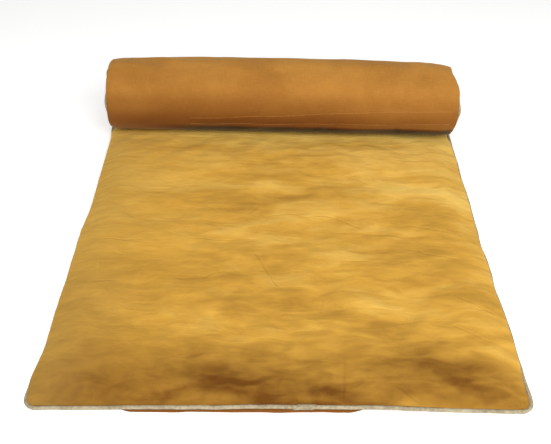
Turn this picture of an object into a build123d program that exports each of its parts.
from build123d import *
from math import sin, cos, tan, radians
import os

# Padded velvet floor quilt, 850 mm wide, piped all round and partly rolled up.
#
# It lies flat from its free front edge and is rolled from its far end, so the
# cotton backing is outside on the roll and the velvet is on top of the flat mat.
# Eleven strips, hinged at mid thickness, make the outer turn of the roll; the
# rest of the roll is the core.  The sides stand on a twelve-sided spiral: side k
# has tangent angle 30 k and lies ROLL_R - PITCH k / 12 from the roll's axis.
#
# Frame: +X across the quilt, +Y from the free front edge towards the roll, +Z up,
# floor at Z = 0, origin under the middle of the object.  Millimetres and degrees.
# In sections, "height" is measured from the backing's outside face.

os.makedirs("parts", exist_ok=True)

# ---- overall -----------------------------------------------------------------
WIDTH = 850.0            # finished width over the piping
FRONT_Y = -494.73        # outside of the piping at the free front edge
FLAT_LENGTH = 882.0      # front edge to the line where the roll touches down
MAT_T = 30.0             # lofted thickness of the flat mat
CORNER_R = 22.0          # plan radius of the mat's corners, on the piping's centre line
HALF = WIDTH / 2

# ---- roll --------------------------------------------------------------------
PITCH = 22.5             # spacing of the turns
ROLL_T = 21.7            # thickness of the quilt inside the roll
ROLL_R = 102.1           # roll axis to the outside of side 0 (the floor)
ROLL_X = -0.17           # middle of the roll's axis
ROLL_YAW = 1.75          # skew of the roll's axis, right end nearer the front
SIDES = 12               # sides of one turn
FIRST_CORE = 12          # side at which the core begins
LAST_SIDE = 39           # last side of the core
GAP = 0.25               # half of the clearance between two strips
PIPING_GAP = 0.7         # distance the piping stops short of a hinge

STEP = 360.0 / SIDES
HINGE_V = ROLL_T / 2                     # height of the hinges
MITRE_TAN = tan(radians(STEP / 2))
MITRE_IN = (ROLL_T - HINGE_V) * MITRE_TAN    # mitre from hinge to velvet
MITRE_OUT = HINGE_V * MITRE_TAN              # mitre from hinge to backing

YAW = radians(ROLL_YAW)
AXIS = Vector(cos(YAW), -sin(YAW), 0)        # along the roll's axis, to the right
BACKWARD = Vector(sin(YAW), cos(YAW), 0)     # level, square to the axis
CENTRE = Vector(ROLL_X, FRONT_Y + FLAT_LENGTH, ROLL_R)

# ---- piping, seam and thread -------------------------------------------------
PIPE_R = 3.5             # outside of the linen cover
PIPE_BORE = 2.25         # inside of the linen cover
CORD_R = 2.1             # cotton cord inside the cover
SEAM_V = 10.0            # height of the seam plane
FLANGE_T = 1.0           # two plies of the bias strip, sewn into the seam
FLANGE_W = 12.0          # seam allowance
FLANGE_LAP = 0.8         # reach of the flange past the seam line into the cover
THREAD_R = 0.28
PIPE_X = HALF - PIPE_R               # centre line of the piping
SEAM_X = HALF - 2 * PIPE_R           # seam line, inside of the piping
FRONT_SEAM = FRONT_Y + 2 * PIPE_R    # seam line at the front edge

# ---- fabrics and wadding -----------------------------------------------------
VELVET_T = 1.6           # velvet with its pile
BACK_T = 0.8             # backing cotton
VELVET_SHIFT = 0.6       # inward shift of the velvet's inside corners
BACK_SHIFT = 0.4         # inward shift of the backing's inside corners
WADDING_GAP = 0.2        # clearance from wadding to fabric
BAND_X = SEAM_X - FLANGE_W + 2                # inner edge of the sewn edge band
VELVET_LOW = SEAM_V + FLANGE_T / 2 + 0.7      # underside of the velvet at the seam
BACK_TOP = SEAM_V - FLANGE_T / 2 - 0.1        # top of the backing at the seam
WADDING_INSET = FLANGE_W + 0.6                # seam line to the wadding's edge

# x at which each face starts to slope towards the edge band
ROLL_SHOULDER, ROLL_LOW = 376.0, 386.0        # velvet, backing in the roll
MAT_SHOULDER, MAT_LOW = 352.0, 390.0          # velvet, backing in the mat

# ---- lengths that reach right past what they cut -----------------------------
LONG = 1200.0
SIDE_REACH = LONG / 8    # half length of a side before it is cut to its outline
PLAN_LENGTH = 2400
PLAN_HEIGHT = 60
MAT_AHEAD, MAT_BEHIND = -1100, 500


def write(part, name):
    part.label = name
    export_step(part, "parts/" + name + ".step")


# ---- the spiral --------------------------------------------------------------
def side_r(k):
    """Distance of side k's outer face from the roll's axis."""
    return ROLL_R - PITCH * k / SIDES


def tangent(k):
    angle = radians(STEP * k)
    return BACKWARD * cos(angle) + Vector(0, 0, 1) * sin(angle)


def outward(k):
    angle = radians(STEP * k)
    return BACKWARD * sin(angle) - Vector(0, 0, 1) * cos(angle)


def on_side(k, along=0, across=0, height=0):
    """Point on side k, from its outer face's nearest point to the roll's axis."""
    foot = CENTRE + outward(k) * side_r(k)
    return foot + tangent(k) * along + AXIS * across - outward(k) * height


def start_of(k):
    """Where side k starts along its tangent, at mid thickness."""
    here, before = side_r(k) - HINGE_V, side_r(k - 1) - HINGE_V
    return (here * cos(radians(STEP)) - before) / sin(radians(STEP))


def end_of(k):
    """Where side k ends along its tangent, at mid thickness."""
    here, after = side_r(k) - HINGE_V, side_r(k + 1) - HINGE_V
    return (after - here * cos(radians(STEP))) / sin(radians(STEP))


def long_plane(k):
    """Sketch plane for side k: x along the side, y through the thickness."""
    return Plane(origin=on_side(k), x_dir=tangent(k), z_dir=AXIS)


def cross_plane(k, along=0):
    """Sketch plane for side k: x across the quilt, y through the thickness."""
    return Plane(origin=on_side(k, along), x_dir=AXIS, z_dir=-tangent(k))


def strip_outline(k):
    """A strip: square ends outside the hinges, mitred ends inside them."""
    start, end = start_of(k) + GAP, end_of(k) - GAP
    return [
        (start, 0), (end, 0), (end, HINGE_V),
        (end - MITRE_IN, ROLL_T), (start + MITRE_IN, ROLL_T), (start, HINGE_V),
    ]


def core_outline(k):
    """A side of the core: mitred at both ends, square where the chain hangs."""
    start, end = start_of(k), end_of(k)
    if k == FIRST_CORE:
        start += GAP
        begin = [(start + MITRE_IN, ROLL_T), (start, HINGE_V), (start, 0)]
    else:
        begin = [(start + MITRE_IN, ROLL_T), (start - MITRE_OUT, 0)]
    low_end = end - MITRE_IN if k == LAST_SIDE else end + MITRE_OUT
    return begin + [(low_end, 0), (end - MITRE_IN, ROLL_T)]


# ---- cross-sections of the roll, as (x, height) ------------------------------
def mirrored(points):
    return [(-x, height) for x, height in reversed(points)]


def symmetric(going_out, coming_in):
    """Closes a half section, drawn from x = 0 out to the edge and back."""
    return mirrored(going_out[1:]) + going_out + coming_in + mirrored(coming_in[:-1])


def velvet_section():
    inside = ROLL_T - VELVET_T
    top = [
        (0, ROLL_T), (ROLL_SHOULDER, ROLL_T),
        (BAND_X, VELVET_LOW + VELVET_T), (SEAM_X, VELVET_LOW + VELVET_T),
    ]
    low = [
        (SEAM_X, VELVET_LOW), (BAND_X - VELVET_SHIFT, VELVET_LOW),
        (ROLL_SHOULDER - VELVET_SHIFT, inside), (0, inside),
    ]
    return symmetric(top, low)


def backing_section(drop=0.0):
    """The backing, moved outwards from the roll by drop."""
    low = [
        (0, 0), (ROLL_LOW, 0),
        (BAND_X, BACK_TOP - BACK_T), (SEAM_X, BACK_TOP - BACK_T),
    ]
    top = [
        (SEAM_X, BACK_TOP), (BAND_X - BACK_SHIFT, BACK_TOP),
        (ROLL_LOW - BACK_SHIFT, BACK_T), (0, BACK_T),
    ]
    return [(x, height - drop) for x, height in symmetric(low, top)]


def wadding_section():
    edge = SEAM_X - WADDING_INSET
    top = ROLL_T - VELVET_T - WADDING_GAP
    low = BACK_T + WADDING_GAP
    # how far down each slope the wadding's edge lies, from 0 to 1
    top_share = (edge - ROLL_SHOULDER) / (BAND_X - ROLL_SHOULDER)
    low_share = (edge - ROLL_LOW) / (BAND_X - ROLL_LOW)
    edge_top = top - (ROLL_T - VELVET_T - VELVET_LOW) * top_share - 0.4
    edge_low = low + (BACK_TOP - BACK_T) * low_share + 0.2
    return symmetric(
        [(0, top), (ROLL_SHOULDER - 1, top), (edge, edge_top)],
        [(edge, edge_low), (ROLL_LOW - 1, low), (0, low)],
    )


SECTIONS = {
    "velvet": velvet_section(),
    "wadding": wadding_section(),
    "backing": backing_section(),
}


def layer_side(k, section, outline):
    """One side of one layer: its cross-section, cut to its lengthways outline."""
    with BuildPart() as layer:
        with BuildSketch(cross_plane(k)):
            Polygon(*section, align=None)
        extrude(amount=SIDE_REACH, both=True)
        with BuildSketch(long_plane(k)):
            Polygon(*outline, align=None)
        extrude(amount=LONG / 2, both=True, mode=Mode.INTERSECT)
    return layer.part


# ---- piping shapes; the draw_ functions draw into the caller's sketch --------
def draw_cover(side):
    """Cover and flange on one long edge: side is -1 left, 1 right."""
    with Locations((side * PIPE_X, SEAM_V)):
        Circle(PIPE_R)
    with Locations((side * (SEAM_X - FLANGE_W / 2 + FLANGE_LAP / 2), SEAM_V)):
        Rectangle(FLANGE_W + FLANGE_LAP, FLANGE_T)
    with Locations((side * PIPE_X, SEAM_V)):
        Circle(PIPE_BORE, mode=Mode.SUBTRACT)


def draw_cord(side):
    with Locations((side * PIPE_X, SEAM_V)):
        Circle(CORD_R)


def swept(plane, path, radius, bore=0, transition=Transition.TRANSFORMED):
    """A round bar, or a tube if it has a bore, along a path."""
    with BuildPart() as bar:
        with BuildSketch(plane):
            Circle(radius)
            if bore:
                Circle(bore, mode=Mode.SUBTRACT)
        sweep(path=path, transition=transition)
    return bar.part


def fused(pieces):
    with BuildPart() as whole:
        for piece in pieces:
            add(piece)
    return whole.part


# ---- the outer turn: eleven strips -------------------------------------------
def piping_strip(k):
    """Both long edges of a strip, each a cover round a cord."""
    start, end = start_of(k) + PIPING_GAP, end_of(k) - PIPING_GAP
    pieces = []
    for side in (-1, 1):
        for draw in (draw_cover, draw_cord):
            with BuildPart() as piece:
                with BuildSketch(cross_plane(k, start)):
                    draw(side)
                extrude(amount=-(end - start))
            pieces.append(piece.part.solid())
    return Compound(children=pieces)


def write_strips():
    for k in range(1, FIRST_CORE):
        for layer, section in SECTIONS.items():
            write(layer_side(k, section, strip_outline(k)), f"{layer}_strip_{k:02d}")
        write(piping_strip(k), f"piping_strip_{k:02d}")


# ---- lap of the backing's end panel over its long panel ----------------------
LAP_SIDE = 9             # side of the roll on which the lap falls
LAP_AT = 1.0             # where the lap starts along that side
LAP_W = 15.4             # width of the lap
LAP_DROP = 1.15          # shift of the lap outwards from the backing
LAP_CUT = (-3, 9)        # heights between which the lap is cut out
LAP_STITCH_INSET = 0.9   # edge of the lap to each row of stitching
LAP_STITCH_GAP = 0.06    # lap to thread


def backing_lap():
    low, high = LAP_CUT
    end = LAP_AT + LAP_W
    outline = [(LAP_AT, low), (end, low), (end, high), (LAP_AT, high)]
    return layer_side(LAP_SIDE, backing_section(LAP_DROP), outline)


def lap_thread():
    height = -LAP_DROP - LAP_STITCH_GAP - THREAD_R
    with BuildPart() as thread:
        for along in (LAP_AT + LAP_STITCH_INSET, LAP_AT + LAP_W - LAP_STITCH_INSET):
            with BuildSketch(long_plane(LAP_SIDE)):
                with Locations((along, height)):
                    Circle(THREAD_R)
            extrude(amount=ROLL_LOW - 2, both=True)
    return thread.part


# ---- the core of the roll ----------------------------------------------------
CORE_SIDES = range(FIRST_CORE, LAST_SIDE + 1)
TAIL_ALONG = end_of(LAST_SIDE) - MITRE_IN     # rolled-in end of the fabrics
TAIL_GAP = 0.3                                # fabrics to the piping across that end


def piping_bay(k, draw):
    """Both long edges of the piping on one side of the core."""
    with BuildPart() as bay:
        for side in (-1, 1):
            with BuildSketch(cross_plane(k)):
                draw(side)
            extrude(amount=SIDE_REACH, both=True)
        with BuildSketch(long_plane(k)):
            Polygon(*core_outline(k), align=None)
        extrude(amount=LONG / 2, both=True, mode=Mode.INTERSECT)
    return bay.part


def piping_core(draw, radius, bore=0):
    """Core piping, turning across the rolled-in end from one edge to the other."""
    turn_along = TAIL_ALONG + PIPE_R + TAIL_GAP
    start = on_side(LAST_SIDE, TAIL_ALONG, -PIPE_X, SEAM_V)
    with BuildLine() as turn_back:
        Polyline(
            start,
            on_side(LAST_SIDE, turn_along, -PIPE_X, SEAM_V),
            on_side(LAST_SIDE, turn_along, PIPE_X, SEAM_V),
            on_side(LAST_SIDE, TAIL_ALONG, PIPE_X, SEAM_V),
        )
    plane = Plane(origin=start, x_dir=AXIS, z_dir=tangent(LAST_SIDE))
    tail = swept(plane, turn_back.wires()[0], radius, bore, Transition.RIGHT)
    return fused([piping_bay(k, draw) for k in CORE_SIDES] + [tail])


def write_core():
    for layer, section in SECTIONS.items():
        sides = [layer_side(k, section, core_outline(k)) for k in CORE_SIDES]
        write(fused(sides), f"{layer}_core")
    write(piping_core(draw_cover, PIPE_R, PIPE_BORE), "piping_cover_core")
    write(piping_core(draw_cord, CORD_R), "piping_cord_core")


# ---- the flat mat ------------------------------------------------------------
FIRST_HINGE = end_of(0)              # hinge between mat and strip 1, along side 0
MAT_END = FIRST_HINGE - GAP
THIN_FROM, THIN_TO = -130, -62       # along side 0, where the mat thins to ROLL_T
TOP_MARGIN = 0.01                    # lengthways outline above the mat's top
WADDING_SPLIT = SEAM_V - 0.2         # height where the wadding's two halves meet
WADDING_CORNER_R = CORNER_R - 8
FABRIC_CORNER_R = CORNER_R - PIPE_R


def front_y(x):
    """The y as far inside the front seam as x is inside the side seam."""
    return FRONT_SEAM + (SEAM_X - x)


def mat_solid(across, along, near_roll):
    """Common volume of an across, a lengthways and a near-the-roll outline."""
    with BuildPart() as body:
        with BuildSketch(Plane.XZ):
            Polygon(*across, align=None)
        extrude(amount=LONG, both=True)
        with BuildSketch(Plane.YZ):
            Polygon(*along, align=None)
        extrude(amount=LONG / 2, both=True, mode=Mode.INTERSECT)
        with BuildSketch(long_plane(0)):
            Polygon(*near_roll, align=None)
        extrude(amount=LONG / 2, both=True, mode=Mode.INTERSECT)
    return body.part


def edge_outlines(face, shoulder, band, edge, far, to_seam):
    """Across and lengthways outlines between a sloped face and the height far."""
    half = [(0, face), (shoulder, face), (band, edge)]
    along = [(front_y(band), edge), (front_y(shoulder), face)]
    if to_seam:
        half.append((SEAM_X, edge))
        along.insert(0, (FRONT_SEAM, edge))
    half.append((half[-1][0], far))
    across = mirrored(half[1:]) + half
    along = [(along[0][0], far)] + along + [(MAT_BEHIND, face), (MAT_BEHIND, far)]
    return across, along


def upper_solid(base, cut):
    """Region from base up to the velvet's outside, lowered by cut."""
    shift = VELVET_SHIFT if cut > 0 else 0
    top, roll_top = MAT_T - cut, ROLL_T - cut
    across, along = edge_outlines(
        top, MAT_SHOULDER - shift, BAND_X - shift,
        VELVET_LOW + VELVET_T - cut, base, to_seam=cut == 0)
    if base < HINGE_V:
        rear = [(MAT_END, base), (MAT_END, HINGE_V)]
    else:
        rear = [(MAT_END - MITRE_TAN * (base - HINGE_V), base)]
    rear.append((MAT_END - MITRE_TAN * (roll_top - HINGE_V), roll_top))
    near_roll = [(MAT_AHEAD, base)] + rear + [
        (THIN_TO, roll_top), (THIN_FROM, top + TOP_MARGIN), (MAT_AHEAD, top + TOP_MARGIN),
    ]
    return mat_solid(across, along, near_roll)


def lower_solid(top, lift):
    """Region from the backing's outside, raised by lift, up to top."""
    shift = BACK_SHIFT if lift > 0 else 0
    across, along = edge_outlines(
        lift, MAT_LOW - shift, BAND_X - shift,
        BACK_TOP - BACK_T + lift, top, to_seam=lift == 0)
    near_roll = [(MAT_AHEAD, lift), (MAT_END, lift), (MAT_END, top), (MAT_AHEAD, top)]
    return mat_solid(across, along, near_roll)


def draw_plan(inset, radius, mode=Mode.ADD):
    """Draws the mat's plan, inset from the seam line, into the caller's sketch."""
    with Locations((0, FRONT_SEAM + inset)):
        RectangleRounded(2 * (SEAM_X - inset), PLAN_LENGTH, radius,
                         align=(Align.CENTER, Align.MIN), mode=mode)


def mat_layer(first, second, mode, inset, radius):
    """Combines two solids and trims them to the mat's plan."""
    with BuildPart() as layer:
        add(first)
        add(second, mode=mode)
        with BuildSketch(Plane.XY):
            draw_plan(inset, radius)
        extrude(amount=PLAN_HEIGHT, mode=Mode.INTERSECT)
    return layer.part


def velvet_face():
    outside = upper_solid(VELVET_LOW, 0)
    inside = upper_solid(VELVET_LOW - 2, VELVET_T)
    return mat_layer(outside, inside, Mode.SUBTRACT, 0, FABRIC_CORNER_R)


def backing_panel():
    outside = lower_solid(BACK_TOP, 0)
    inside = lower_solid(BACK_TOP + 2, BACK_T)
    return mat_layer(outside, inside, Mode.SUBTRACT, 0, FABRIC_CORNER_R)


def wadding_pad():
    """Everything between the two fabrics, short of the sewn edge band."""
    upper = upper_solid(WADDING_SPLIT, VELVET_T + WADDING_GAP)
    lower = lower_solid(WADDING_SPLIT, BACK_T + WADDING_GAP)
    return mat_layer(upper, lower, Mode.ADD, WADDING_INSET, WADDING_CORNER_R)


# ---- piping and seam of the flat mat -----------------------------------------
FLANGE_INNER_R = CORNER_R - 9        # corner of the flange's inner edge
JOIN_X = 44.0                        # where the two ends of the piping overlap
JOIN_L = 30.0
JOIN_R = PIPE_R + 0.75
JOIN_BORE = PIPE_R + 0.05
JOIN_SLOT_AT = PIPE_R + 1            # middle of the slot that lets the seam in
JOIN_SLOT_W = 4.5
JOIN_SLOT_H = 2 * VELVET_LOW - 2 * SEAM_V + 5.5
STITCH_INSET = 2 * PIPE_R + 2.0      # outer edge of the piping to the seam thread
STITCH_CORNER_R = CORNER_R - 5.5
STITCH_GAP = 0.1                     # flange to thread


def rear_y(x):
    """Where the mat's edge at x meets the first hinge, less the clearance."""
    return CENTRE.Y + (FIRST_HINGE - PIPING_GAP) / cos(YAW) - (x - CENTRE.X) * tan(YAW)


def edge_sweep(inset, corner, radius, bore=0):
    """Bar in the seam plane up one long edge, round the front, down the other."""
    x, y = HALF - inset, FRONT_Y + inset
    with BuildLine() as run:
        Line((-x, rear_y(-x), SEAM_V), (-x, y + corner, SEAM_V))
        RadiusArc((-x, y + corner, SEAM_V), (-x + corner, y, SEAM_V), -corner)
        Line((-x + corner, y, SEAM_V), (x - corner, y, SEAM_V))
        RadiusArc((x - corner, y, SEAM_V), (x, y + corner, SEAM_V), -corner)
        Line((x, y + corner, SEAM_V), (x, rear_y(x), SEAM_V))
    start = Plane(origin=(-x, rear_y(-x), SEAM_V), x_dir=(1, 0, 0), z_dir=(0, -1, 0))
    return swept(start, run.wires()[0], radius, bore)


def piping_cover():
    beyond_x, beyond_y = 600, 2600
    behind_hinge = [
        (-beyond_x, rear_y(-beyond_x)), (beyond_x, rear_y(beyond_x)),
        (beyond_x, beyond_y), (-beyond_x, beyond_y),
    ]
    tube = edge_sweep(PIPE_R, CORNER_R, PIPE_R, PIPE_BORE)
    with BuildPart() as cover:
        add(tube)
        with BuildSketch(Plane.XY.offset(SEAM_V - FLANGE_T / 2)):
            draw_plan(-FLANGE_LAP, FABRIC_CORNER_R)
            draw_plan(FLANGE_W, FLANGE_INNER_R, mode=Mode.SUBTRACT)
            Polygon(*behind_hinge, align=None, mode=Mode.SUBTRACT)
        extrude(amount=FLANGE_T)
    return cover.part


def piping_join():
    """Short second ply where the ends of the bias strip overlap at the front."""
    left_end = (JOIN_X - JOIN_L / 2, FRONT_Y + PIPE_R, SEAM_V)
    with BuildPart() as join:
        with BuildSketch(Plane(origin=left_end, x_dir=(0, 1, 0), z_dir=(1, 0, 0))):
            Circle(JOIN_R)
            Circle(JOIN_BORE, mode=Mode.SUBTRACT)
            with Locations((JOIN_SLOT_AT, 0)):
                Rectangle(JOIN_SLOT_W, JOIN_SLOT_H, mode=Mode.SUBTRACT)
        extrude(amount=JOIN_L)
    return join.part


def seam_thread():
    """One run of lockstitch just inside the piping, on top of the flange."""
    thread = edge_sweep(STITCH_INSET, STITCH_CORNER_R, THREAD_R)
    return thread.moved(Location((0, 0, FLANGE_T / 2 + STITCH_GAP + THREAD_R)))


write_strips()
write(backing_lap(), "backing_lap")
write(lap_thread(), "lap_thread")
write_core()
write(velvet_face(), "velvet_face")
write(backing_panel(), "backing_panel")
write(wadding_pad(), "wadding_pad")
write(piping_cover(), "piping_cover")
write(edge_sweep(PIPE_R, CORNER_R, CORD_R), "piping_cord")
write(piping_join(), "piping_join")
write(seam_thread(), "seam_thread")
